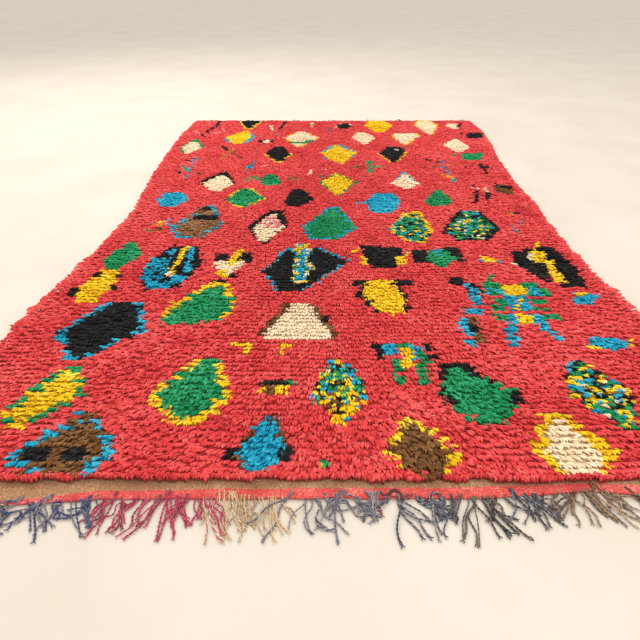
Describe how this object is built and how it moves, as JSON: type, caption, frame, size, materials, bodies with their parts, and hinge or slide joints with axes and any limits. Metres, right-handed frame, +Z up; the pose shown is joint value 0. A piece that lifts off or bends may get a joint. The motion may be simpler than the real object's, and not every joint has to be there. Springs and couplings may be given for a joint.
{
  "type": "boujaad rug",
  "caption": "Flat shaggy wool rug, hand-knotted in ribbed rows of red pile with scattered lozenges, flat-woven ends and a loose warp fringe at each end; lies on a floor.",
  "frame": {"origin": "middle of the pile field, on the floor under the rug", "axes": "+Y along the rug to its far end, +X across it to the right, +Z up out of the pile"},
  "size_m": [1.5726, 2.671, 0.022],
  "materials": {
    "pile_wool": "matte shaggy wool, red with coloured lozenges",
    "ground_weave": "matte flat-woven brown wool",
    "red_weave": "matte weft-faced red wool",
    "fringe_yarn": "matte twisted wool yarn in mixed greys, browns and purples"
  },
  "bodies": {
    "root": {"rug_cloth": "pile_wool", "fringe_near": "fringe_yarn", "fringe_far": "fringe_yarn"}
  },
  "joints": []
}
